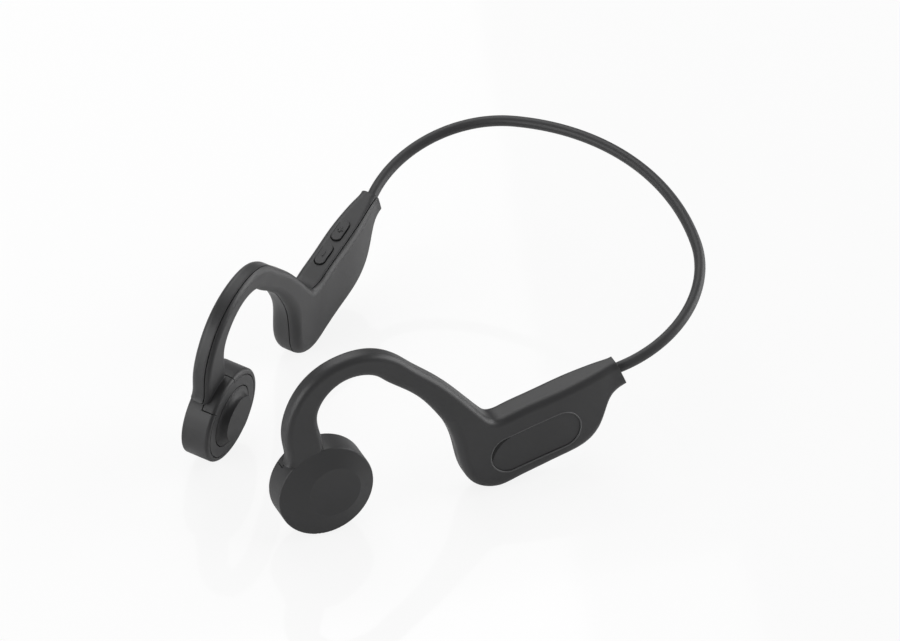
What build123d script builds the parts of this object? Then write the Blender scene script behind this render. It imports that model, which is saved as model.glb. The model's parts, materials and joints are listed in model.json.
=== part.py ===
from build123d import *
import os
from math import acos, atan, cos, degrees, hypot, radians, sin

# Bone conduction headphones on a sprung neckband, as an assembly of separate pieces. Millimetres.
# An ear unit is modelled in its own frame: X outwards from the head, Y to the back, Z up from the
# surface that it stands on. The left unit is then turned and set at +X, the right one mirrors it at -X.

# Where the ear units stand
TOE = 19.3  # degrees that a unit's back end turns away from the centre line
LEAN = 4.8  # degrees that a unit's top leans in to the head
LEAN_Z = 20.0  # height that the lean turns about
UNIT_OFFSET = 36.3  # centre line to the unit's middle plane at that height

# Walls, gaps and fits shared by the moulded pieces
WALL = 1.2
SEAM_GAP = 0.25  # shadow line between shell and cover
BUTTON_GAP = 0.25  # all round a button in its window
LOOSE_FIT = 0.1  # a part dropped into its seat
FLOAT_GAP = 0.05  # a part that almost touches its seat

# Round housing at the front, which holds the exciter
PUCK_Y = -35.9
PUCK_RADIUS = 14.3
PUCK_OUT = 2.9  # outer rim from the middle plane
PUCK_IN = 5.6  # inner rim from the middle plane
PUCK_FLOOR = 1.5
PUCK_CROWN = 1.4  # height of the flat disc above the outer rim
PUCK_DISC_RADIUS = 7.8
PUCK_DISC_SHIFT = 2.0  # the flat disc sits this far back of the rim's centre
PUCK_RIM_ROUND = 1.0
PUCK_EDGE_ROUND = 0.4
PUCK_WALL = 3.1
LEDGE = 0.9  # step that the spring plate's rim lies on
COVER_DISC = 1.4  # thickness of the cover's round end
COVER_INSET = 1.5  # plain rim of the housing outside the cover's round end

# Hook over the ear: a leg up from the housing, then a round arch
LEG_Y = -41.6
LEG_HALF = 5.6
LEG_THICK = 2.9
LEG_ROOT_DEPTH = 3.2  # the leg starts this far inside the housing's rim
ARCH_Y = -25.2
ARCH_Z = 36.2
ARCH_RADIUS = 16.7
HOOK_HALF = 3.4
HOOK_THICK = 2.85
HOOK_ROUND = 1.9

# Pod behind the ear: half thickness at heel, middle and end, and the straight top edge
POD_HEEL_THICK = 4.9
POD_MID_THICK = 4.95
POD_END_THICK = 3.2
POD_TOP_SHARE = 0.86  # half thickness at the top edge over that at the bottom
POD_TOP_ROUND = 2.0
POD_BOTTOM_ROUND = 3.4
POD_TOP_FRONT = (17.2, 22.6)
POD_TOP_BACK = (53.8, 30.0)
POD_END_BOTTOM = (56.7, 22.1)
HEEL_BOTTOM = 0.1
POD_BELLY_FRONT = (21.6, 0.7)
POD_BELLY_BACK = (40.4, 5.1)

# Seam between shell and cover, as points of back position and distance inwards
SEAM_LINE = [(-75.0, 1.45), (4.0, 1.45), (20.0, 2.9), (42.0, 2.8), (52.0, 2.2), (70.0, 2.1)]

# Oblong plate in the pod's outer face: the left one is a button, the right one is fixed
PLATE_LENGTH = 28.2
PLATE_WIDTH = 11.6
PLATE_CENTRE = (27.5, 12.4)
PLATE_SINK = 0.3
PLATE_FLANGE = 0.7
PLATE_TRAVEL = 0.3

# Volume buttons in the pod's top edge
VOLUME_LENGTH = 8.2
VOLUME_WIDTH = 3.4
VOLUME_SPOTS = {"volume_down": 28.0, "volume_up": 37.7}
VOLUME_OUT = 0.6  # the row's distance outwards from the middle plane
VOLUME_PROUD = 0.55
VOLUME_FLANGE = 0.5
VOLUME_TRAVEL = 0.35

# Charging socket in the pod's underside, with its rubber cover
SOCKET_LENGTH = 9.0
SOCKET_WIDTH = 3.2
SOCKET_DEPTH = 6.6
SOCKET_SKIN = 0.3
SOCKET_Y = 31.5
FLAP_LENGTH = 12.4
FLAP_WIDTH = 5.0
FLAP_THICK = 1.3

# Neckband: tube of jacket round a spring wire and a cable
BAND_RADIUS = 1.6
BAND_CHANNEL = 1.05
BAND_RISE = 17.0  # degrees that the band's plane climbs to the back
BAND_INSERT = 6.5  # length of tube held in a pod
BAND_STRAIGHT = 1.6  # straight run between pod and first bend
BAND_SPLAY = 24.0  # degrees outwards at which it leaves a pod
BAND_SIDE_RADIUS = 34.6
BAND_BACK_HALF = 30.0  # half angle of the flat back arc
BAND_EXIT_SHARE = 0.42  # exit's place down the pod's end face
SPRING_RADIUS = 0.5
CABLE_RADIUS = 0.4
FERRULE_WALL = 0.18
FERRULE_LENGTH = 4.0
CABLE_TAIL = 5.0

# Exciter: pad, carrier and coil vibrate against the magnet in its yoke
PAD_RADIUS = 9.2
PAD_FACE_RADIUS = 6.9
PAD_PROUD = 2.3
PAD_GAP = 0.3
PAD_TRAVEL = 0.1
CARRIER_RADIUS = 10.2
CARRIER_THICK = 0.8
COIL_RADIUS = 6.5
COIL_WALL = 0.8
COIL_LENGTH = 2.6
YOKE_RADIUS = 8.4
YOKE_WALL = 1.2
YOKE_LENGTH = 3.0
MAGNET_RADIUS = 4.8
MAGNET_LENGTH = 1.5
TOP_PLATE_RADIUS = 5.2
TOP_PLATE_THICK = 0.6
SPRING_PLATE_THICK = 0.2
SPRING_PLATE_HOLE = 6.9
SPRING_SLOT_WIDTH = 0.5

# Boards, cells and what sits on them
BOARD_THICK = 0.6
MAIN_BOARD_LENGTH = 20.0
MAIN_BOARD_WIDTH = 12.4
POST_RADIUS = 1.1
CONNECTOR_SIZE = (2.4, 4.0, 2.2)
MAIN_BOARD_DROP = 9.2  # its middle below the pod's top edge
KEY_BOARD_LENGTH = 14.0
KEY_BOARD_WIDTH = 8.0
SWITCH_SIZE = 3.6
SWITCH_HEIGHT = 1.2
PLUNGER_RADIUS = 0.9
CELL_LENGTH = 24.0
CELL_WIDTH = 12.0
CELL_THICK = 2.4
CHIP_SIZE = 5.0
CHIP_HEIGHT = 0.9
MICROPHONE_SIZE = (3.0, 2.2, 1.0)
MIC_HOLE_RADIUS = 0.5
MIC_Y = 20.5
LEAD_RADIUS = 0.55

PUCK_Z = PUCK_RADIUS
POD_RUN = POD_TOP_BACK[0] - POD_TOP_FRONT[0]
POD_SLOPE = (POD_TOP_BACK[1] - POD_TOP_FRONT[1]) / POD_RUN
BELLY_RUN = POD_BELLY_BACK[0] - POD_BELLY_FRONT[0]
BELLY_SLOPE = (POD_BELLY_BACK[1] - POD_BELLY_FRONT[1]) / BELLY_RUN
TOP_ANGLE = degrees(atan(POD_SLOPE))
BELLY_ANGLE = degrees(atan(BELLY_SLOPE))


def pod_top(y):
    """Height of the pod's straight top edge."""
    return POD_TOP_FRONT[1] + (y - POD_TOP_FRONT[0]) * POD_SLOPE


def pod_belly(y):
    """Height of the pod's underside between heel and end."""
    return POD_BELLY_FRONT[1] + (y - POD_BELLY_FRONT[0]) * BELLY_SLOPE


def rib(top, bottom, half, top_share, top_round, bottom_round, inset=0.0):
    """Cross-section on the line from bottom to top, narrower at the top, shrunk by inset all round."""
    run, rise = top[0] - bottom[0], top[1] - bottom[1]
    long = hypot(run, rise)
    middle = (0, (top[0] + bottom[0]) / 2, (top[1] + bottom[1]) / 2)
    plane = Plane(origin=middle, x_dir=(1, 0, 0), z_dir=(0, -rise, run))
    low, high, end = half - inset, half * top_share - inset, long / 2 - inset
    outline = make_face(Polyline((low, -end), (high, end), (-high, end), (-low, -end), close=True))
    smallest = 0.25 * WALL
    outline = fillet(outline.vertices().group_by(Axis.Y)[-1], max(top_round - inset, smallest))
    outline = fillet(outline.vertices().group_by(Axis.Y)[0], max(bottom_round - inset, smallest))
    return plane * outline


def hook_ribs():
    """Leg out of the housing, then the arch, as top, bottom, half thickness and rounds."""
    root = PUCK_Z + PUCK_RADIUS - LEG_ROOT_DEPTH
    ribs = []
    for z, half in ((root, LEG_HALF), (root + 7.5, LEG_HALF - 0.2)):
        ribs.append(((LEG_Y - half, z), (LEG_Y + half, z), LEG_THICK, 1.0, HOOK_ROUND, HOOK_ROUND))
    for angle, wider in ((168, 1.2), (145, 0.6), (115, 0.1), (85, 0.0), (60, 0.2), (40, 0.4)):
        along = (cos(radians(angle)), sin(radians(angle)))
        half = HOOK_HALF + wider
        far, near = ARCH_RADIUS + half, ARCH_RADIUS - half
        top = (ARCH_Y + far * along[0], ARCH_Z + far * along[1])
        bottom = (ARCH_Y + near * along[0], ARCH_Z + near * along[1])
        ribs.append((top, bottom, HOOK_THICK, 1.0, HOOK_ROUND, HOOK_ROUND))
    return ribs


def pod_ribs():
    """From the hook's root round the heel and along the pod to its end."""
    neck, heel, mid, end = HOOK_THICK, POD_HEEL_THICK, POD_MID_THICK, POD_END_THICK
    belly_middle = (SOCKET_Y, pod_belly(SOCKET_Y))
    ribs = []
    for top, bottom, share in (
        ((-1.7, 42.0), (-6.7, 37.0), 0.2),
        ((5.0, 34.8), (-1.8, 30.4), 0.5),
        ((9.9, 28.7), (2.1, 23.2), 0.8),
        ((12.9, 25.0), (4.5, 14.5), 0.95),
        ((14.9, 23.1), (7.0, 5.2), 1.0),
    ):
        thick = neck + (heel - neck) * share
        narrow = 1 - (1 - POD_TOP_SHARE) * share
        rounding = HOOK_ROUND + (POD_BOTTOM_ROUND - HOOK_ROUND) * share
        ribs.append((top, bottom, thick, narrow, POD_TOP_ROUND, rounding))
    for y, bottom, thick, rounding in (
        (POD_TOP_FRONT[0], (13.2, HEEL_BOTTOM), heel, POD_BOTTOM_ROUND),
        (22.0, POD_BELLY_FRONT, mid, POD_BOTTOM_ROUND),
        (31.0, belly_middle, mid, POD_BOTTOM_ROUND),
        (40.0, POD_BELLY_BACK, mid, POD_BOTTOM_ROUND),
        (45.0, (46.2, 8.2), mid + 0.25 * (end - mid), POD_BOTTOM_ROUND),
        (48.2, (49.1, 13.4), mid + 0.5 * (end - mid), 0.85 * POD_BOTTOM_ROUND),
        (50.8, (51.4, 18.6), mid + 0.8 * (end - mid), 0.7 * POD_BOTTOM_ROUND),
        (POD_TOP_BACK[0], POD_END_BOTTOM, end, 0.55 * POD_BOTTOM_ROUND),
    ):
        ribs.append(((y, pod_top(y)), bottom, thick, POD_TOP_SHARE, POD_TOP_ROUND, rounding))
    return ribs


def body(inset=0.0, dropped=0):
    """Hook and pod as one closed form, shrunk by inset and without its last ribs."""
    ribs = hook_ribs() + pod_ribs()
    return loft([rib(*r, inset=inset) for r in ribs[: len(ribs) - dropped]])


def side_frame(y, z):
    """Plane in the unit's middle at a spot: X back along the pod, Y up, Z outwards."""
    angle = radians(TOP_ANGLE)
    return Plane(origin=(0, y, z), x_dir=(0, cos(angle), sin(angle)), z_dir=(1, 0, 0))


def top_frame(y):
    """Plane on the pod's top edge: X back along it, Z out of the pod."""
    angle = radians(TOP_ANGLE)
    along = (0, cos(angle), sin(angle))
    return Plane(origin=(VOLUME_OUT, y, pod_top(y)), x_dir=along, z_dir=(0, -sin(angle), cos(angle)))


def belly_frame(y):
    """Plane on the pod's underside: X back along it, Z up into the pod."""
    angle = radians(BELLY_ANGLE)
    along = (0, cos(angle), sin(angle))
    return Plane(origin=(0, y, pod_belly(y)), x_dir=along, z_dir=(0, -sin(angle), cos(angle)))


def prism(frame, outline, start, end):
    """Outline drawn on a frame, drawn out between two heights above it."""
    return frame * Pos(0, 0, start) * extrude(outline, end - start)


def block(frame, length, width, start, end):
    return prism(frame, Rectangle(length, width), start, end)


PUCK = Plane(origin=(0, PUCK_Y, PUCK_Z), x_dir=(0, 1, 0), z_dir=(1, 0, 0))


def disc(radius, start, end):
    return prism(PUCK, Circle(radius), start, end)


def ring(outer, inner, start, end):
    return prism(PUCK, Circle(outer) - Circle(inner), start, end)


# Levels in the round housing, counted outwards from the middle plane
COVER_BACK = COVER_DISC - PUCK_IN
CARRIER_FRONT = COVER_BACK + PAD_TRAVEL + LOOSE_FIT
CARRIER_BACK = CARRIER_FRONT + CARRIER_THICK
LEDGE_OUT = CARRIER_BACK + SPRING_PLATE_THICK
FLOOR_IN = PUCK_OUT - PUCK_FLOOR
YOKE_FRONT = FLOOR_IN - YOKE_LENGTH
MAGNET_BACK = YOKE_FRONT + TOP_PLATE_THICK + MAGNET_LENGTH
MAGNET_FRONT = YOKE_FRONT + TOP_PLATE_THICK
CHAMBER_RADIUS = PUCK_RADIUS - PUCK_WALL
RECESS_RADIUS = PUCK_RADIUS - COVER_INSET
HOOK_SEAM = SEAM_LINE[0][1]
POD_ROOM = POD_MID_THICK * POD_TOP_SHARE - WALL  # half width of the pod's hollow at its narrow top
PLATE_BACK = POD_ROOM - 3 * LOOSE_FIT - PLATE_FLANGE


def inner_side(gap):
    """Everything on the head's side of the seam."""
    seam = [(-depth - gap, y) for y, depth in SEAM_LINE]
    first, last = seam[0], seam[-1]
    far = -4 * PUCK_IN
    outline = Polyline(*seam, (far, last[1]), (far, first[1]), close=True)
    tall = ARCH_Z + 2 * ARCH_RADIUS
    return Pos(0, 0, -tall / 4) * extrude(make_face(outline), 1.25 * tall)


def drum():
    """Closed round housing: rounded inner rim, outer face rising to a flat disc set back of centre."""
    barrel = disc(PUCK_RADIUS, -PUCK_IN, PUCK_OUT)
    rims = barrel.edges().filter_by(GeomType.CIRCLE).sort_by(Axis.X)
    barrel = fillet(rims[0], PUCK_RIM_ROUND)
    barrel = fillet(barrel.edges().filter_by(GeomType.CIRCLE).sort_by(Axis.X)[-1], PUCK_EDGE_ROUND)
    low = PUCK * Pos(0, 0, PUCK_OUT) * Circle(PUCK_RADIUS - PUCK_EDGE_ROUND)
    high = PUCK * Pos(PUCK_DISC_SHIFT, 0, PUCK_OUT + PUCK_CROWN) * Circle(PUCK_DISC_RADIUS)
    return barrel + loft([low, high])


def chamber():
    """Stepped hollow of the round housing, open to the head's side."""
    deep = disc(CHAMBER_RADIUS, -PUCK_IN, FLOOR_IN)
    return deep + disc(CHAMBER_RADIUS + LEDGE, -PUCK_IN, LEDGE_OUT)


def tab_wedge(gap, seam):
    """Part of the housing's wall under the hook, which belongs to the cover."""
    front = degrees(acos((LEG_Y - LEG_HALF - PUCK_Y) / PUCK_RADIUS))
    back = degrees(acos((LEG_Y + LEG_HALF - PUCK_Y) / PUCK_RADIUS))
    spare = degrees(gap / PUCK_RADIUS)
    far = 2 * PUCK_RADIUS
    corners = [(0, 0)]
    for angle in (back + spare, (front + back) / 2, front - spare):
        corners.append((far * cos(radians(angle)), far * sin(radians(angle))))
    return prism(PUCK, make_face(Polyline(*corners, close=True)), -2 * PUCK_IN, -seam)


def plate_window():
    return prism(side_frame(*PLATE_CENTRE), SlotOverall(PLATE_LENGTH, PLATE_WIDTH), 0, 2 * POD_MID_THICK)


def band_exit():
    """Middle of the neckband where it leaves the pod's end face, in the unit's frame."""
    share = BAND_EXIT_SHARE
    y = POD_TOP_BACK[0] + share * (POD_END_BOTTOM[0] - POD_TOP_BACK[0])
    z = POD_TOP_BACK[1] + share * (POD_END_BOTTOM[1] - POD_TOP_BACK[1])
    return (0, y, z)


LEFT = Rot(0, 0, -TOE) * Pos(UNIT_OFFSET, 0, LEAN_Z) * Rot(0, -LEAN, 0) * Pos(0, 0, -LEAN_Z)
EXIT = (LEFT * Pos(*band_exit())).position
BAND_PLANE = Plane(
    origin=(0, EXIT.Y, EXIT.Z),
    x_dir=(1, 0, 0),
    z_dir=(0, -sin(radians(BAND_RISE)), cos(radians(BAND_RISE))),
)
BEND_X = EXIT.X + BAND_STRAIGHT * sin(radians(BAND_SPLAY))
BEND_Y = BAND_STRAIGHT * cos(radians(BAND_SPLAY))
SIDE_X = BEND_X - BAND_SIDE_RADIUS * cos(radians(BAND_SPLAY))
SIDE_Y = BEND_Y + BAND_SIDE_RADIUS * sin(radians(BAND_SPLAY))
BACK_RADIUS = BAND_SIDE_RADIUS + SIDE_X / sin(radians(BAND_BACK_HALF))
BACK_Y = SIDE_Y - (BACK_RADIUS - BAND_SIDE_RADIUS) * cos(radians(BAND_BACK_HALF))


def band_path(insert):
    """Straight ends in the pods, two side arcs and one flat back arc, all tangent, in the band's plane."""
    splay, half = radians(BAND_SPLAY), BAND_BACK_HALF
    start = (EXIT.X - insert * sin(splay), -insert * cos(splay))
    side_turn = 90 + BAND_SPLAY - half
    run_in = Line(start, (BEND_X, BEND_Y))
    left_arc = CenterArc((SIDE_X, SIDE_Y), BAND_SIDE_RADIUS, -BAND_SPLAY, side_turn)
    back_arc = CenterArc((0, BACK_Y), BACK_RADIUS, 90 - half, 2 * half)
    right_arc = CenterArc((-SIDE_X, SIDE_Y), BAND_SIDE_RADIUS, 90 + half, side_turn)
    run_out = Line((-BEND_X, BEND_Y), (-start[0], start[1]))
    return Wire([run_in, left_arc, back_arc, right_arc, run_out])


def band_tube(outline, insert):
    """Outline swept along the band; its Y axis stands square to the band's plane."""
    path = band_path(insert)
    begin = Plane(origin=path @ 0, x_dir=(path % 0).cross(Vector(0, 0, 1)), z_dir=path % 0)
    return BAND_PLANE * sweep(begin * outline, path=path)


def pad():
    """Raised contact pad with a hollowed flank and a flat face."""
    root, rim, face = CARRIER_FRONT, -PUCK_IN, -PUCK_IN - PAD_PROUD
    waist = (PAD_FACE_RADIUS + 0.25 * (PAD_RADIUS - PAD_FACE_RADIUS), rim - 0.45 * PAD_PROUD)
    edge = Polyline((PAD_FACE_RADIUS, face), (0, face), (0, root), (PAD_RADIUS, root), (PAD_RADIUS, rim))
    flank = ThreePointArc((PAD_RADIUS, rim), waist, (PAD_FACE_RADIUS, face))
    return PUCK * revolve(Plane.XZ * make_face(edge + flank), Axis.Z)


def spring_plate():
    """Thin disc whose rim lies on the ledge; three curved slots make it springy."""
    outer = CHAMBER_RADIUS + LEDGE - FLOAT_GAP
    leaf = ring(outer, SPRING_PLATE_HOLE, CARRIER_BACK, LEDGE_OUT)
    middle = (outer + SPRING_PLATE_HOLE) / 2
    arc = CenterArc((0, 0), middle, 0, 85)
    for turn in (20, 140, 260):
        cut = Rot(0, 0, turn) * trace(arc, SPRING_SLOT_WIDTH)
        leaf -= prism(PUCK, cut, CARRIER_BACK - 1, LEDGE_OUT + 1)
    return leaf


def lead_run():
    """Straight first run of the leads, from the yoke through the housing's wall into the leg."""
    joint = acos((LEG_Y - PUCK_Y) / PUCK_RADIUS)
    reach = YOKE_RADIUS + LEAD_RADIUS + FLOAT_GAP
    return [(PUCK_Y + reach * cos(joint), PUCK_Z + reach * sin(joint)), (LEG_Y, PUCK_Z + PUCK_RADIUS)]


def lead_hole():
    run = Line(*[(0, y, z) for y, z in lead_run()])
    return sweep(Plane(origin=run @ 0, z_dir=run % 0) * Circle(LEAD_RADIUS + 2 * LOOSE_FIT), path=run)


def leads(end):
    """Twin lead from the yoke through leg, arch and neck to a point in the pod, just outside the middle."""
    points = lead_run()
    for angle in (168, 140, 110, 80, 55):
        x, z = cos(radians(angle)), sin(radians(angle))
        points.append((ARCH_Y + ARCH_RADIUS * x, ARCH_Z + ARCH_RADIUS * z))
    points += [(1.6, 32.4), (9.5, 18.0), end]
    path = FilletPolyline(*[(0, y, z) for y, z in points], radius=4 * LEAD_RADIUS)
    start = Plane(origin=path @ 0, z_dir=path % 0)
    return sweep(start * Circle(LEAD_RADIUS), path=path)


def oblong_plate():
    """Plate a little sunk in its window, with a flange behind the wall."""
    spot = side_frame(*PLATE_CENTRE)
    core = SlotOverall(PLATE_LENGTH - 2 * BUTTON_GAP, PLATE_WIDTH - 2 * BUTTON_GAP)
    wide = SlotOverall(PLATE_LENGTH + WALL, PLATE_WIDTH + WALL)
    plug = body(PLATE_SINK) & prism(spot, core, PLATE_BACK, 2 * POD_MID_THICK)
    return plug + prism(spot, wide, PLATE_BACK, PLATE_BACK + PLATE_FLANGE)


def unit_parts():
    """Both ear units share these; windows and posts are added to shell and cover later."""
    solid, hollow = body(), body(WALL, dropped=2)
    house, space = drum(), chamber()
    recess = disc(RECESS_RADIUS, -2 * PUCK_IN, COVER_BACK)
    tube_hole = LEFT.inverse() * band_tube(Circle(BAND_RADIUS + LOOSE_FIT), BAND_INSERT + 2 * WALL)
    barrel = house - tab_wedge(0, HOOK_SEAM) - space - recess
    shell = solid - inner_side(0) + barrel - hollow - tube_hole - lead_hole()

    tab = house & tab_wedge(SEAM_GAP, HOOK_SEAM + SEAM_GAP)
    lid = ring(RECESS_RADIUS - SEAM_GAP, PAD_RADIUS + PAD_GAP, -PUCK_IN, COVER_BACK)
    cover = (solid & inner_side(SEAM_GAP)) - disc(PUCK_RADIUS - PUCK_RIM_ROUND, -2 * PUCK_IN, FLOOR_IN)
    cover = cover + tab - hollow - space + lid

    cup = disc(YOKE_RADIUS, YOKE_FRONT, FLOOR_IN)
    parts = {
        "contact_pad": pad(),
        "pad_carrier": disc(CARRIER_RADIUS, CARRIER_FRONT, CARRIER_BACK),
        "voice_coil": ring(COIL_RADIUS, COIL_RADIUS - COIL_WALL, CARRIER_BACK, CARRIER_BACK + COIL_LENGTH),
        "spring_plate": spring_plate(),
        "yoke": cup - disc(YOKE_RADIUS - YOKE_WALL, YOKE_FRONT, MAGNET_BACK),
        "magnet": disc(MAGNET_RADIUS, MAGNET_FRONT, MAGNET_BACK),
        "top_plate": disc(TOP_PLATE_RADIUS, YOKE_FRONT, MAGNET_FRONT),
    }
    return solid, shell, cover, parts


def switch_well(spot, outline, top):
    """Switch body with a round well for its plunger."""
    case = prism(spot, outline, top - SWITCH_HEIGHT, top)
    return case - prism(spot, Circle(PLUNGER_RADIUS + LOOSE_FIT), top - 0.7 * SWITCH_HEIGHT, top)


def left_parts(shell, cover):
    """Cell and key board; the oblong plate is the function button."""
    spot = side_frame(*PLATE_CENTRE)
    well = PLATE_BACK - PLATE_TRAVEL - LOOSE_FIT
    board_out = well - SWITCH_HEIGHT
    cell_in = 3 * LOOSE_FIT - POD_ROOM
    front = (spot * Pos(-CELL_LENGTH / 2 - LEAD_RADIUS, 0, 0)).position
    return {
        "left_shell": shell - plate_window(),
        "left_cover": cover,
        "function_button": oblong_plate(),
        "function_plunger": prism(spot, Circle(PLUNGER_RADIUS), well - FLOAT_GAP, PLATE_BACK),
        "function_switch": switch_well(spot, Rectangle(SWITCH_SIZE, SWITCH_SIZE), well),
        "key_board": block(spot, KEY_BOARD_LENGTH, KEY_BOARD_WIDTH, board_out - BOARD_THICK, board_out),
        "cell": block(spot, CELL_LENGTH, CELL_WIDTH, cell_in, cell_in + CELL_THICK),
        "left_leads": leads((front.Y, front.Z)),
    }


def volume_parts(face):
    """Two buttons with plungers over one pair of switches, whose backs stand on the board's face."""
    parts, switches = {}, []
    gap = 2 * BUTTON_GAP
    step = -WALL - FLOAT_GAP
    low = step - VOLUME_FLANGE
    well = low - VOLUME_TRAVEL - LOOSE_FIT
    reach = VOLUME_OUT + SWITCH_SIZE / 2 - face
    case = Pos(0, (reach - SWITCH_SIZE) / 2) * Rectangle(SWITCH_SIZE, reach)
    for name, y in VOLUME_SPOTS.items():
        top = top_frame(y)
        cap = prism(top, SlotOverall(VOLUME_LENGTH - gap, VOLUME_WIDTH - gap), step, VOLUME_PROUD)
        flange = prism(top, SlotOverall(VOLUME_LENGTH + gap, VOLUME_WIDTH + gap), low, step)
        parts[name + "_button"] = cap + flange
        parts[name + "_plunger"] = prism(top, Circle(PLUNGER_RADIUS), well - FLOAT_GAP, low)
        switches.append(switch_well(top, case, well))
    parts["volume_switches"] = Compound(children=switches)
    return parts


def right_parts(solid, shell, cover):
    """Main board with switches, radio chip and connector, and the charging socket under its cover."""
    face = -SOCKET_WIDTH / 2
    middle = sum(VOLUME_SPOTS.values()) / len(VOLUME_SPOTS)
    board_spot = side_frame(middle, pod_top(middle)) * Pos(0, -MAIN_BOARD_DROP, 0)
    front = board_spot * Pos(CONNECTOR_SIZE[0] / 2 - MAIN_BOARD_LENGTH / 2, 0, 0)
    parts = volume_parts(face)
    parts["right_plate"] = oblong_plate()
    parts["main_board"] = block(board_spot, MAIN_BOARD_LENGTH, MAIN_BOARD_WIDTH, face - BOARD_THICK, face)
    parts["radio_chip"] = block(board_spot, CHIP_SIZE, CHIP_SIZE, face, face + CHIP_HEIGHT)
    long, wide, high = CONNECTOR_SIZE
    parts["lead_connector"] = block(front, long, wide, face, face + high)
    lead_end = (front * Pos(-long / 2 - LEAD_RADIUS, 0, 0)).position
    parts["right_leads"] = leads((lead_end.Y, lead_end.Z))
    for side in (-1, 1):
        along = side * (MAIN_BOARD_LENGTH / 2 - 2 * POST_RADIUS)
        post = board_spot * Pos(along, 0, 0)
        cover += prism(post, Circle(POST_RADIUS), WALL / 2 - POD_MID_THICK, face - BOARD_THICK)

    under = belly_frame(SOCKET_Y)
    seat = FLAP_THICK + LOOSE_FIT
    mouth = SlotOverall(SOCKET_LENGTH, SOCKET_WIDTH)
    bore = SlotOverall(SOCKET_LENGTH - 2 * SOCKET_SKIN, SOCKET_WIDTH - 2 * SOCKET_SKIN)
    pillow = prism(under, SlotOverall(FLAP_LENGTH + 2 * WALL, FLAP_WIDTH + WALL), WALL / 2, seat + WALL)
    shell += pillow
    dish = SlotOverall(FLAP_LENGTH + 2 * BUTTON_GAP, FLAP_WIDTH + 2 * BUTTON_GAP)
    hole = SlotOverall(SOCKET_LENGTH + 2 * LOOSE_FIT, SOCKET_WIDTH + 2 * LOOSE_FIT)
    shell -= prism(under, dish, -2 * WALL, seat)
    shell -= prism(under, hole, 0, 2 * seat + WALL)
    flap = prism(under, SlotOverall(FLAP_LENGTH, FLAP_WIDTH), -2 * WALL, FLAP_THICK)
    parts["charging_cover"] = solid & flap
    socket = prism(under, mouth, seat, seat + SOCKET_DEPTH)
    parts["charging_socket"] = socket - prism(under, bore, seat, seat + SOCKET_DEPTH - SOCKET_SKIN)

    mic_spot = belly_frame(MIC_Y)
    lift = WALL + 2 * LOOSE_FIT
    long, wide, high = MICROPHONE_SIZE
    parts["microphone"] = block(mic_spot, long, wide, lift, lift + high)
    shell -= prism(mic_spot, Circle(MIC_HOLE_RADIUS), -2 * WALL, lift)

    shell -= plate_window()
    for y in VOLUME_SPOTS.values():
        shell -= prism(top_frame(y), SlotOverall(VOLUME_LENGTH, VOLUME_WIDTH), -2 * WALL, 2 * WALL)
    parts["right_shell"] = shell
    parts["right_cover"] = cover
    return parts


def neckband_parts():
    """Tube with a spring wire below and a cable above in its channel; a ferrule ends the wire in each pod."""
    wire_shift = SPRING_RADIUS + FLOAT_GAP - BAND_CHANNEL
    cable_shift = BAND_CHANNEL - CABLE_RADIUS - FLOAT_GAP
    wire_end = BAND_INSERT + FERRULE_LENGTH
    sleeve = Pos(0, wire_shift) * (Circle(SPRING_RADIUS + FERRULE_WALL) - Circle(SPRING_RADIUS))
    path = band_path(wire_end)
    begin = Plane(origin=path @ 0, x_dir=(path % 0).cross(Vector(0, 0, 1)), z_dir=path % 0)
    ferrule = BAND_PLANE * begin * extrude(sleeve, FERRULE_LENGTH - FLOAT_GAP)
    return {
        "neckband_jacket": band_tube(Circle(BAND_RADIUS) - Circle(BAND_CHANNEL), BAND_INSERT),
        "neckband_spring": band_tube(Pos(0, wire_shift) * Circle(SPRING_RADIUS), wire_end),
        "neckband_cable": band_tube(Pos(0, cable_shift) * Circle(CABLE_RADIUS), BAND_INSERT + CABLE_TAIL),
        "left_ferrule": ferrule,
        "right_ferrule": mirror(ferrule, Plane.YZ),
    }


def assembly():
    """Every piece by name, with the origin on the floor under the middle of the whole."""
    solid, shell, cover, shared = unit_parts()
    pieces = neckband_parts()
    for name, piece in left_parts(shell, cover).items():
        pieces[name] = LEFT * piece
    for name, piece in right_parts(solid, shell, cover).items():
        pieces[name] = mirror(LEFT * piece, Plane.YZ)
    for name, piece in shared.items():
        pieces["left_" + name] = LEFT * piece
        pieces["right_" + name] = mirror(LEFT * piece, Plane.YZ)
    unit, band = pieces["left_shell"].bounding_box(), pieces["neckband_jacket"].bounding_box()
    shift = Pos(0, -(unit.min.Y + band.max.Y) / 2, -unit.min.Z)
    return {name: shift * piece for name, piece in pieces.items()}, shift


if __name__ == "__main__":
    os.makedirs("parts", exist_ok=True)
    pieces, _ = assembly()
    for name, piece in pieces.items():
        piece.label = name
        export_step(piece, f"parts/{name}.step")
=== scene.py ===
import json
from math import cos, pi, radians, sin

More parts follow.
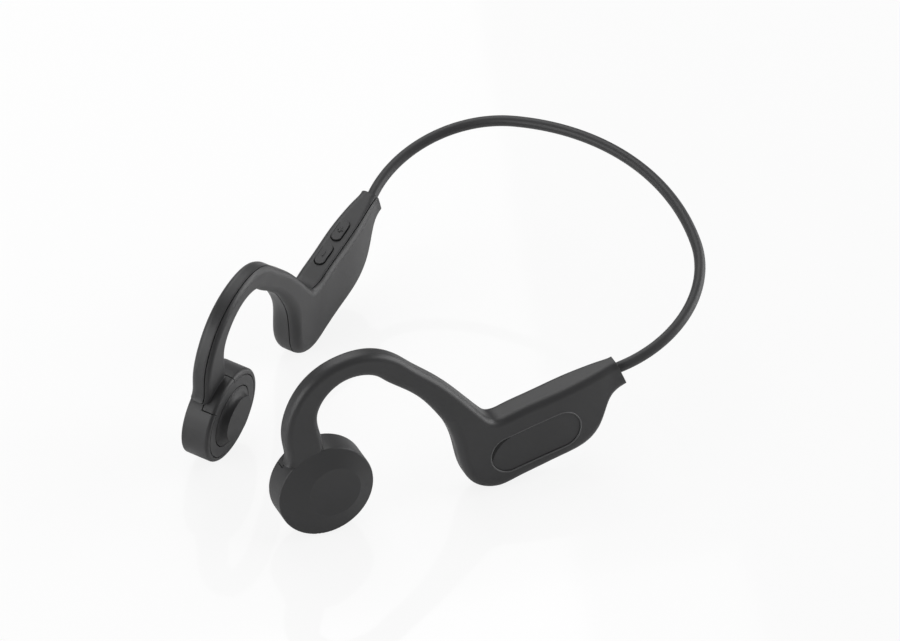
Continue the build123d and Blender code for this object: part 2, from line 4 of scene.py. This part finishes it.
import bpy
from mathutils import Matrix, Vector


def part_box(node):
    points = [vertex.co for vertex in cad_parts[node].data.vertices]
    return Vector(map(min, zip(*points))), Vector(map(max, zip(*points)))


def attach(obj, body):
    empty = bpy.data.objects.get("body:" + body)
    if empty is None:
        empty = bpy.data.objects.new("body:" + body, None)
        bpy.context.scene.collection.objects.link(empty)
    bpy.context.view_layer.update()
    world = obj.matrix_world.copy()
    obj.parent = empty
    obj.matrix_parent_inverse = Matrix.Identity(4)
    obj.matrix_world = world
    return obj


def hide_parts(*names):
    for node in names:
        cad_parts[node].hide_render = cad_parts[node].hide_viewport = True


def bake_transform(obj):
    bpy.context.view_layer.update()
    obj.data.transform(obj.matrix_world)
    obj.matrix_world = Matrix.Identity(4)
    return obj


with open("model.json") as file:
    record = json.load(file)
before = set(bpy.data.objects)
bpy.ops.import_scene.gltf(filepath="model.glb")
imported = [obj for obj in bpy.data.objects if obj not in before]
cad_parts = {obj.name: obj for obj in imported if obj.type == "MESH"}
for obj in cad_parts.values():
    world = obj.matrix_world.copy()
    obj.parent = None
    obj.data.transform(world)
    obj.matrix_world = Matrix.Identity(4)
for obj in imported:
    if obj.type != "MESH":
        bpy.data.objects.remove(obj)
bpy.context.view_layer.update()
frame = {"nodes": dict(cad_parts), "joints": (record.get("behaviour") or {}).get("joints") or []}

nodes = frame["nodes"]
joints = {joint["name"]: joint for joint in frame["joints"]}

# Camera: held high over the wearer's front left. The lens is long and far off, so that the near and the
# far unit keep one scale. All sizes in this file are in metres unless a name says millimetres.
AIM = Vector((-0.0009, 0.0070, 0.0212))
AZIMUTH = radians(47.4)
ELEVATION = radians(39.5)
DISTANCE = 2.5
PICTURE_WIDTH = 0.2571  # width of the picture at the aim
SENSOR_MM = 36.0
FARTHEST_SEEN = 20
sight = Vector((sin(AZIMUTH) * cos(ELEVATION), -cos(AZIMUTH) * cos(ELEVATION), sin(ELEVATION)))
bpy.ops.object.camera_add(location=AIM + DISTANCE * sight, rotation=(pi / 2 - ELEVATION, 0, AZIMUTH))
camera = bpy.context.object
camera.data.sensor_width = SENSOR_MM
camera.data.lens = SENSOR_MM * DISTANCE / PICTURE_WIDTH
camera.data.clip_end = FARTHEST_SEEN
bpy.context.scene.camera = camera
bpy.context.scene.view_settings.view_transform = "Standard"


# Table top: a sheet of white acrylic, cast and polished, that lies flat and fills the picture. It mirrors
# the object faintly. What the camera sees of it is mostly plain white, which keeps the shadows pale.
def srgb(code):
    """Linear colour, with full alpha, of an sRGB hex code."""
    parts = [int(code[i:i + 2], 16) / 255 for i in (1, 3, 5)]
    return [p / 12.92 if p <= 0.04045 else ((p + 0.055) / 1.055) ** 2.4 for p in parts] + [1.0]


def add(tree, kind, inputs=None, **settings):
    """New node with its settings; an input is a value, or an output to link from."""
    made = tree.nodes.new(kind)
    for name, value in settings.items():
        setattr(made, name, value)
    for name, value in (inputs or {}).items():
        if isinstance(value, bpy.types.NodeSocket):
            tree.links.new(value, made.inputs[name])
        else:
            made.inputs[name].default_value = value
    return made


def new_material(name):
    """Empty material with its tree and its output node."""
    material = bpy.data.materials.new(name)
    material.use_nodes = True
    material.node_tree.nodes.clear()
    return material, material.node_tree, add(material.node_tree, "ShaderNodeOutputMaterial")


FLOOR_SIZE = 6.0
FLOOR_DROP = 0.0002
FLOOR_GLOW = 0.86  # share of plain white in what the camera sees of the sheet
bpy.ops.object.select_all(action="DESELECT")
bpy.ops.mesh.primitive_plane_add(size=FLOOR_SIZE, location=(0, 0, -FLOOR_DROP))
floor = bpy.context.object
floor.name = "table_top"
# polished acrylic: white all over, with a clear but faint mirror image
white_acrylic, tree, output = new_material("white_acrylic")
sheet = add(tree, "ShaderNodeBsdfPrincipled", {"Base Color": srgb("#fbfbfb"), "Roughness": 0.05, "IOR": 1.7})
glow = add(tree, "ShaderNodeEmission", {"Color": srgb("#ffffff"), "Strength": 1.0})
seen = add(tree, "ShaderNodeLightPath").outputs["Is Camera Ray"]
share = add(tree, "ShaderNodeMath", {0: seen, 1: FLOOR_GLOW}, operation="MULTIPLY")
table = add(tree, "ShaderNodeMixShader", {0: share.outputs[0], 1: sheet.outputs[0], 2: glow.outputs[0]})
tree.links.new(table.outputs[0], output.inputs["Surface"])
floor.data.materials.append(white_acrylic)


# Studio light: a dim white room and six soft boxes, one above and the rest lower all round. In their names
# right is +X and back is +Y. The camera sees the room at plain white.
ROOM_LIGHT = 0.24
world = bpy.data.worlds.new("white_room")
world.use_nodes = True
bpy.context.scene.world = world
tree = world.node_tree
tree.nodes.clear()
rays = add(tree, "ShaderNodeLightPath").outputs
seen = add(
    tree, "ShaderNodeMath", {0: rays["Is Camera Ray"], 1: rays["Is Transmission Ray"]}, operation="MAXIMUM")
room = add(tree, "ShaderNodeBackground", {"Color": srgb("#ffffff"), "Strength": ROOM_LIGHT})
backdrop = add(tree, "ShaderNodeBackground", {"Color": srgb("#ffffff"), "Strength": 1.0})
mix = add(tree, "ShaderNodeMixShader", {0: seen.outputs[0], 1: room.outputs[0], 2: backdrop.outputs[0]})
add(tree, "ShaderNodeOutputWorld", {"Surface": mix.outputs[0]})
for name, place, size, watts in (
    ("top_box", (-0.50, 0.25, 1.10), 0.8, 2.8),
    ("left_back_box", (-0.95, 0.45, 0.75), 0.7, 2.4),
    ("right_back_box", (0.75, 0.95, 0.42), 0.9, 9.2),
    ("left_front_box", (-0.80, -0.95, 0.40), 0.6, 2.0),
    ("front_box", (-0.20, -1.20, 0.45), 0.8, 6.0),
    ("back_box", (0.10, 1.20, 0.40), 0.6, 3.0),
):
    bpy.ops.object.light_add(type="AREA", location=place)
    lamp = bpy.context.object
    lamp.name = name
    lamp.rotation_euler = (-Vector(place)).to_track_quat("-Z", "Y").to_euler()
    lamp.data.size = size
    lamp.data.energy = watts


# Neckband: a silicone jacket over a spring wire and a cable, with a crimped ferrule on each end of the
# wire. Jacket, wire and cable run from pod to pod behind the neck, and each is made as two halves that
# meet at the back.
BAND_RADIUS = 0.0016
BAND_WALL = 0.00055
SIDE_RADIUS = 0.0346
BACK_HALF = radians(30)
SPLAY = radians(24)
BAND_STRAIGHT = 0.0016
BAND_INSERT = 0.0065
FERRULE_LENGTH = 0.0040
CABLE_TAIL = 0.0050
WIRE_RADIUS = 0.0005
CABLE_RADIUS = 0.0004
CHANNEL_GAP = 0.00005
TUBE_POINTS = 40
BACK_STEPS = 40
SIDE_STEPS = 72
SMOOTH_BELOW = radians(40)
MERGE_BELOW = 1e-7
MILLIMETRE = 0.001
EDGE_ROUND = 0.00022  # no moulded or pressed edge is sharper than this

band_pivot = Vector(joints["left_flex"]["pos_m"])
band_normal = Vector(joints["left_flex"]["axis"]).normalized()
band_back = Vector((0, band_normal.z, -band_normal.y))


def finish(name, tones, patch_mm, grain_mm, bump_mm, roughness, ior=1.5, metallic=0.0):
    """Surface with slow changes of tone and gloss, a fine grain and broken edges."""
    material, tree, output = new_material(name)
    place = add(tree, "ShaderNodeTexCoord").outputs["Object"]
    patches = add(tree, "ShaderNodeTexNoise", {
        "Vector": place, "Scale": 1 / (patch_mm * MILLIMETRE), "Detail": 3.0}).outputs["Fac"]
    # inputs 6 and 7 of a colour mix are its two colours, and output 2 is the result
    tone = add(tree, "ShaderNodeMix", {0: patches, 6: srgb(tones[0]), 7: srgb(tones[1])}, data_type="RGBA")
    gloss = add(tree, "ShaderNodeMapRange", {
        "Value": patches, "To Min": roughness[0], "To Max": roughness[1]})
    # the real grain is some hundredths of a millimetre wide and is drawn coarser; from the camera's distance
    # it still shows only as a softer highlight
    grain = add(tree, "ShaderNodeTexNoise", {
        "Vector": place, "Scale": 1 / (grain_mm * MILLIMETRE), "Detail": 2.0}).outputs["Fac"]
    edges = add(tree, "ShaderNodeBevel", {"Radius": EDGE_ROUND}, samples=6)
    bump = add(tree, "ShaderNodeBump", {
        "Height": grain, "Distance": bump_mm * MILLIMETRE, "Strength": 0.6, "Normal": edges.outputs[0]})
    skin = add(tree, "ShaderNodeBsdfPrincipled", {
        "Base Color": tone.outputs[2], "Roughness": gloss.outputs[0], "Normal": bump.outputs[0],
        "IOR": ior, "Metallic": metallic})
    tree.links.new(skin.outputs[0], output.inputs["Surface"])
    return material


def dress(piece, material):
    """One material all over the piece."""
    piece.data.materials.clear()
    piece.data.materials.append(material)


def band_half(name, side, radius, lift, insert, wall):
    """Tube, or rod where wall is None, spun round the back and side arcs and drawn into the pod."""
    across = Vector((side, 0, 0))
    pivot = Vector((side * band_pivot.x, band_pivot.y, band_pivot.z))
    outwards = sin(BACK_HALF) * across + cos(BACK_HALF) * band_back
    back_radius = band_pivot.x / sin(BACK_HALF)
    back_centre = pivot - back_radius * outwards
    side_centre = pivot - SIDE_RADIUS * outwards
    side_angle = pi / 2 + SPLAY - BACK_HALF
    start = back_centre + back_radius * band_back + lift * band_normal
    forwards = -sin(SPLAY) * across - cos(SPLAY) * band_back
    bpy.ops.object.select_all(action="DESELECT")
    bpy.ops.mesh.primitive_circle_add(
        vertices=TUBE_POINTS, radius=radius, location=start, rotation=(0, pi / 2, 0))
    piece = bpy.context.object
    piece.name = name
    bpy.ops.object.transform_apply(location=True, rotation=True, scale=True)
    bpy.ops.object.mode_set(mode="EDIT")
    bpy.ops.mesh.select_all(action="SELECT")
    bpy.ops.mesh.spin(steps=BACK_STEPS, angle=side * BACK_HALF, center=back_centre, axis=band_normal)
    bpy.ops.mesh.spin(steps=SIDE_STEPS, angle=side * side_angle, center=side_centre, axis=band_normal)
    bpy.ops.mesh.extrude_region_move(TRANSFORM_OT_translate={"value": (BAND_STRAIGHT + insert) * forwards})
    bpy.ops.mesh.select_all(action="SELECT")
    bpy.ops.mesh.remove_doubles(threshold=MERGE_BELOW)
    bpy.ops.mesh.normals_make_consistent(inside=False)
    if wall is None:
        bpy.ops.mesh.select_all(action="DESELECT")
        bpy.ops.mesh.select_mode(type="EDGE")
        bpy.ops.mesh.select_non_manifold()
        bpy.ops.mesh.edge_face_add()
    bpy.ops.object.mode_set(mode="OBJECT")
    if wall is not None:
        shell = piece.modifiers.new("wall", "SOLIDIFY")
        shell.thickness = wall
        shell.offset = -1
        bpy.ops.object.modifier_apply(modifier="wall")
    bpy.ops.object.shade_smooth_by_angle(angle=SMOOTH_BELOW)
    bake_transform(piece)
    return piece


# moulded silicone: a soft, broad sheen, a little paler than the housings
band_silicone = finish(
    "satin_silicone", tones=("#3a3a3b", "#434344"), patch_mm=9.0, grain_mm=0.12, bump_mm=0.005,
    roughness=(0.38, 0.46), ior=1.42)
# drawn steel: a bright, narrow glint along the wire
spring_wire = finish(
    "drawn_spring_steel", tones=("#9a9a9c", "#b4b4b6"), patch_mm=2.0, grain_mm=0.1, bump_mm=0.004,
    roughness=(0.25, 0.35), metallic=1.0)
# extruded vinyl: a dull, even red
cable_vinyl = finish(
    "red_vinyl", tones=("#6e1712", "#7d1e17"), patch_mm=3.0, grain_mm=0.1, bump_mm=0.004,
    roughness=(0.4, 0.5), ior=1.52)
channel = BAND_RADIUS - BAND_WALL
wire_lift = WIRE_RADIUS + CHANNEL_GAP - channel
wire_insert = BAND_INSERT + FERRULE_LENGTH
cable_lift = channel - CABLE_RADIUS - CHANNEL_GAP
cable_insert = BAND_INSERT + CABLE_TAIL
for side, hand in ((1, "left"), (-1, "right")):
    for node, radius, lift, insert, wall, material, slot in (
        ("neckband_jacket", BAND_RADIUS, 0.0, BAND_INSERT, BAND_WALL, band_silicone, "band_silicone"),
        ("neckband_spring", WIRE_RADIUS, wire_lift, wire_insert, None, spring_wire, "spring_steel"),
        ("neckband_cable", CABLE_RADIUS, cable_lift, cable_insert, None, cable_vinyl, "wire_insulation"),
    ):
        piece = band_half(f"{node}_{hand}", side, radius, lift, insert, wall)
        dress(piece, material)
        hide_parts(node)
    dress(nodes[f"{hand}_ferrule"], spring_wire)


# Housings: the shell, cover and oblong plate of each unit, moulded in ABS and sprayed with a soft-touch
# coat. Shell and cover are joined along the seam that runs over hook and pod, and a flange behind the
# shell's window holds the plate.

# sprayed soft-touch coat: near black, with a dull and broad highlight
soft_touch = finish(
    "soft_touch_abs", tones=("#303031", "#383839"), patch_mm=14.0, grain_mm=0.16, bump_mm=0.012,
    roughness=(0.38, 0.47), ior=1.5)
for name in ("left_shell", "right_shell", "left_cover", "right_cover", "function_button", "right_plate"):
    dress(nodes[name], soft_touch)


# Window lips: the edge of each pod's window round its oblong plate, a fine bead in one moulding with the
# shell. It follows the shell's face, and its lighter grey is a painted highlight along the bead.
PLATE_LENGTH = 0.0282
PLATE_WIDTH = 0.0116
PLATE_STRAIGHT = PLATE_LENGTH - PLATE_WIDTH
PLATE_TILT = radians(11.4)
LIP_RADIUS = 0.00024
LIP_SINK = 0.00014
LIP_POINTS = 64
LIP_ROUNDNESS = 3
# soft-touch coat painted lighter: a painted highlight line round the plate
lip_painted_highlight_coat = finish(
    "soft_touch_painted_highlight", tones=("#525253", "#5c5c5d"), patch_mm=5.0, grain_mm=0.16, bump_mm=0.01,
    roughness=(0.36, 0.44), ior=1.5)


def middle_of(points, direction):
    """Halfway between the lowest and the highest point along a direction."""
    reach = [p.dot(direction) for p in points]
    return (min(reach) + max(reach)) / 2


def plate_frame(plate, outwards):
    """Centre of a plate's outline, and the directions along it, across it and out of the pod."""
    side = 1 if outwards.x > 0 else -1
    back = side * Vector((-outwards.y, outwards.x, 0)).normalized()
    up = side * outwards.cross(back)
    along = cos(PLATE_TILT) * back + sin(PLATE_TILT) * up
    across = cos(PLATE_TILT) * up - sin(PLATE_TILT) * back
    points = [v.co for v in nodes[plate].data.vertices]
    centre = middle_of(points, along) * along + middle_of(points, across) * across
    return centre, along, across, outwards


def lay_on(piece, frame_of_plate, target, track):
    """Lays a piece drawn flat on XY over the plate; track says where each point takes its height."""
    centre, along, across, outwards = frame_of_plate
    shape = nodes[target].evaluated_get(bpy.context.evaluated_depsgraph_get())
    far = max(v.co.dot(outwards) for v in nodes[target].data.vertices) + MILLIMETRE
    for vertex in piece.data.vertices:
        x, y, z = vertex.co
        foot = track(x, y)
        start = centre + foot[0] * along + foot[1] * across + far * outwards
        hit, spot, _, _ = shape.ray_cast(start, -outwards)
        level = spot.dot(outwards) if hit else far
        vertex.co = centre + x * along + y * across + (level + z) * outwards


def window_edge(x, y):
    """Nearest point on the shell just outside the oblong window."""
    middle = max(-PLATE_STRAIGHT / 2, min(PLATE_STRAIGHT / 2, x))
    reach = Vector((x - middle, y)).normalized() * (PLATE_WIDTH / 2 + 2 * LIP_RADIUS)
    return middle + reach.x, reach.y


plates = {}
for plate, joint, unit in (
    ("function_button", "left_pad_vibration", "left_unit"),
    ("right_plate", "right_pad_vibration", "right_unit"),
):
    plates[plate] = plate_frame(plate, -Vector(joints[joint]["axis"]).normalized())
    bpy.ops.object.select_all(action="DESELECT")
    bpy.ops.mesh.primitive_circle_add(vertices=LIP_POINTS, radius=PLATE_WIDTH / 2)
    lip = bpy.context.object
    lip.name = unit.replace("unit", "window_lip")
    for half in (-1, 1):
        bpy.ops.object.mode_set(mode="EDIT")
        bpy.ops.mesh.select_mode(type="VERT")
        bpy.ops.mesh.select_all(action="DESELECT")
        bpy.ops.object.mode_set(mode="OBJECT")
        for vertex in lip.data.vertices:
            vertex.select = vertex.co.x * half > MERGE_BELOW
        bpy.ops.object.mode_set(mode="EDIT")
        bpy.ops.transform.translate(value=(half * PLATE_STRAIGHT / 2, 0, 0))
    bpy.ops.mesh.select_all(action="SELECT")
    bpy.ops.mesh.subdivide(number_cuts=1)
    bpy.ops.object.mode_set(mode="OBJECT")
    bpy.ops.object.convert(target="CURVE")
    lip.data.bevel_depth = LIP_RADIUS
    lip.data.bevel_resolution = LIP_ROUNDNESS
    bpy.ops.object.convert(target="MESH")
    bpy.ops.object.mode_set(mode="EDIT")
    bpy.ops.mesh.select_all(action="SELECT")
    bpy.ops.transform.translate(value=(0, 0, -LIP_SINK))
    bpy.ops.object.mode_set(mode="OBJECT")
    lay_on(lip, plates[plate], unit.replace("unit", "shell"), window_edge)
    bpy.ops.object.mode_set(mode="EDIT")
    bpy.ops.mesh.remove_doubles(threshold=MERGE_BELOW)
    bpy.ops.mesh.normals_make_consistent(inside=False)
    bpy.ops.object.mode_set(mode="OBJECT")
    bpy.ops.object.shade_smooth()
    dress(lip, lip_painted_highlight_coat)
    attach(lip, unit)


# Gap shadow: a thin black crescent on the front upper end of the left plate, painted shadow where the
# plate's gap is deepest. It tapers out both ways: what is left of a disc nearly as wide as the plate's end
# when a larger, shifted disc is cut away.
GAP_SHADOW_MARGIN = 0.00032
GAP_SHADOW_CUT_RADIUS = 0.0091
GAP_SHADOW_CUT_SHIFT = 0.0047
GAP_SHADOW_CUT_DEPTH = 0.0016
GAP_SHADOW_TURN = radians(128)
GAP_SHADOW_DEPTH = 0.0004
GAP_SHADOW_PROUD = 0.00018
GAP_SHADOW_POINTS = 96
GAP_SHADOW_CUT_POINTS = 128
# painted shadow: black and smooth, darker than the coat round it
painted_gap_shadow = finish(
    "painted_gap_shadow", tones=("#050505", "#090909"), patch_mm=3.0, grain_mm=0.1, bump_mm=0.002,
    roughness=(0.24, 0.3), ior=1.4)


def combine(piece, other, operation):
    """Boolean of two meshes, which uses up the other one."""
    step = piece.modifiers.new("combine", "BOOLEAN")
    step.operation = operation
    step.object = other
    bpy.ops.object.select_all(action="DESELECT")
    piece.select_set(True)
    bpy.context.view_layer.objects.active = piece
    bpy.ops.object.modifier_apply(modifier="combine")
    bpy.data.objects.remove(other)


gap_shadow_middle = Vector((-PLATE_STRAIGHT / 2, 0, GAP_SHADOW_PROUD - GAP_SHADOW_DEPTH / 2))
gap_shadow_turn = Vector((cos(GAP_SHADOW_TURN), sin(GAP_SHADOW_TURN), 0))
bpy.ops.object.select_all(action="DESELECT")
bpy.ops.mesh.primitive_cylinder_add(
    vertices=GAP_SHADOW_POINTS, radius=PLATE_WIDTH / 2 - GAP_SHADOW_MARGIN, depth=GAP_SHADOW_DEPTH, location=gap_shadow_middle)
# lens: the black crescent of painted shadow
lens = bpy.context.object
lens.name = "painted_gap_shadow_crescent"
bpy.ops.object.transform_apply(location=True, rotation=False, scale=False)
bpy.ops.mesh.primitive_cylinder_add(
    vertices=GAP_SHADOW_CUT_POINTS, radius=GAP_SHADOW_CUT_RADIUS, depth=GAP_SHADOW_CUT_DEPTH,
    location=gap_shadow_middle - GAP_SHADOW_CUT_SHIFT * gap_shadow_turn)
combine(lens, bpy.context.object, "DIFFERENCE")
lay_on(lens, plates["function_button"], "function_button", lambda x, y: (x, y))
dress(lens, painted_gap_shadow)
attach(lens, "function_key")


# Volume buttons: two keys in the right pod's top edge, moulded in ABS with the same soft-touch coat as the
# housings. A raised minus and plus, for the finger to feel, are part of their moulding.
MARK_LENGTH = 0.0019
MARK_WIDTH = 0.0005
MARK_PROUD = 0.00025
MARK_SINK = 0.0001
MARK_ROUND = 0.00015
MARK_ROUND_STEPS = 3
# sprayed soft-touch coat on small keys: the housings' near black, with a deeper grain
button_coat = finish(
    "soft_touch_key", tones=("#303031", "#383839"), patch_mm=8.0, grain_mm=0.16, bump_mm=0.02,
    roughness=(0.38, 0.47), ior=1.5)
key_up = -Vector(joints["volume_up_press"]["axis"]).normalized()
key_middles = {}
for key in ("volume_up", "volume_down"):
    dress(nodes[key + "_button"], button_coat)
    low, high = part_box(key + "_button")
    key_middles[key] = (low + high) / 2
key_back = key_middles["volume_up"] - key_middles["volume_down"]
key_back = (key_back - key_back.dot(key_up) * key_up).normalized()
key_side = key_up.cross(key_back)
for key, crossed in (("volume_up", True), ("volume_down", False)):
    points = [v.co for v in nodes[key + "_button"].data.vertices]
    top = max(p.dot(key_up) for p in points) + (MARK_PROUD - MARK_SINK) / 2
    centre = middle_of(points, key_back) * key_back + middle_of(points, key_side) * key_side + top * key_up
    bpy.ops.object.select_all(action="DESELECT")
    bpy.ops.mesh.primitive_cube_add(size=1, location=(0, 0, 0))
    mark = bpy.context.object
    mark.name = key + "_mark"
    mark.scale = (MARK_LENGTH, MARK_WIDTH, MARK_PROUD + MARK_SINK)
    bpy.ops.object.transform_apply(location=False, rotation=False, scale=True)
    bpy.ops.object.mode_set(mode="EDIT")
    bpy.ops.mesh.select_all(action="SELECT")
    bpy.ops.mesh.bevel(offset=MARK_ROUND, segments=MARK_ROUND_STEPS)
    bpy.ops.object.mode_set(mode="OBJECT")
    if crossed:
        bpy.ops.object.duplicate()
        bar = bpy.context.object
        bar.rotation_euler.z = pi / 2
        bpy.ops.object.transform_apply(location=False, rotation=True, scale=False)
        combine(mark, bar, "UNION")
    for vertex in mark.data.vertices:
        x, y, z = vertex.co
        vertex.co = centre + x * key_back + y * key_side + z * key_up
    dress(mark, button_coat)
    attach(mark, key + "_key")


# Contact pads and charging cover: moulded silicone rubber. The pads lie on the cheekbones and are bonded to
# their carriers, and the cover is hinged and lies in a dish over the charging socket.

# matte silicone: dull, and a shade darker than the housings
pad_silicone = finish(
    "matte_silicone", tones=("#29292a", "#2f2f30"), patch_mm=6.0, grain_mm=0.14, bump_mm=0.015,
    roughness=(0.4, 0.48), ior=1.42)
for name in ("left_contact_pad", "right_contact_pad", "charging_cover"):
    dress(nodes[name], pad_silicone)


# Exciters: a coil of enamelled copper wire on a moulded nylon carrier, a slotted spring plate, and a
# nickelled magnet under its pole piece in a plated steel cup.

# wound, enamelled wire: a warm, uneven copper gleam
copper = finish(
    "enamelled_copper", tones=("#a4582c", "#c07440"), patch_mm=1.2, grain_mm=0.12, bump_mm=0.03,
    roughness=(0.28, 0.38), metallic=1.0)
# zinc plate on pressed steel: a cool grey, duller than nickel
cup_steel = finish(
    "zinc_plated_steel", tones=("#8b8c90", "#a2a3a6"), patch_mm=3.0, grain_mm=0.1, bump_mm=0.006,
    roughness=(0.32, 0.44), metallic=1.0)
# nickel plate: smooth and bright, a little warm
nickel = finish(
    "nickel_plate", tones=("#a9a7a1", "#b9b7b0"), patch_mm=4.0, grain_mm=0.1, bump_mm=0.002,
    roughness=(0.14, 0.2), metallic=1.0)
# moulded nylon: a dull black
carrier_plastic = finish(
    "moulded_nylon", tones=("#232324", "#2a2a2b"), patch_mm=4.0, grain_mm=0.15, bump_mm=0.01,
    roughness=(0.42, 0.5), ior=1.53)
for hand in ("left", "right"):
    for part, material in (
        ("pad_carrier", carrier_plastic), ("voice_coil", copper), ("spring_plate", cup_steel),
        ("yoke", cup_steel), ("magnet", nickel), ("top_plate", cup_steel),
    ):
        dress(nodes[f"{hand}_{part}"], material)


# Electronics: boards under solder mask, chip and switches moulded in epoxy, connector and plungers in
# nylon, microphone and charging socket in plated cans, a cell in a foil pouch, and leads in the same vinyl
# as the band's cable.

# printed solder mask: a glossy green
solder_mask = finish(
    "green_solder_mask", tones=("#12492a", "#1a5c36"), patch_mm=1.5, grain_mm=0.2, bump_mm=0.02,
    roughness=(0.25, 0.36), ior=1.55)
# moulded epoxy: a dull black
chip_epoxy = finish(
    "moulded_epoxy", tones=("#171718", "#1d1d1e"), patch_mm=2.0, grain_mm=0.12, bump_mm=0.01,
    roughness=(0.4, 0.5), ior=1.55)
# moulded nylon, uncoloured: a dull, creamy white
white_nylon = finish(
    "white_nylon", tones=("#d9d6cb", "#e4e1d7"), patch_mm=2.0, grain_mm=0.15, bump_mm=0.01,
    roughness=(0.42, 0.5), ior=1.53)
# pressed aluminium foil: bright, with a slight crinkle
pouch_foil = finish(
    "pouch_foil", tones=("#b4b5b9", "#c6c7cb"), patch_mm=2.5, grain_mm=0.3, bump_mm=0.03,
    roughness=(0.24, 0.34), metallic=1.0)
for name, material in (
    ("key_board", solder_mask), ("main_board", solder_mask), ("radio_chip", chip_epoxy),
    ("function_switch", chip_epoxy), ("volume_switches", chip_epoxy), ("microphone", nickel),
    ("lead_connector", white_nylon), ("function_plunger", white_nylon), ("volume_up_plunger", white_nylon),
    ("volume_down_plunger", white_nylon), ("cell", pouch_foil), ("charging_socket", cup_steel),
    ("left_leads", cable_vinyl), ("right_leads", cable_vinyl),
):
    dress(nodes[name], material)
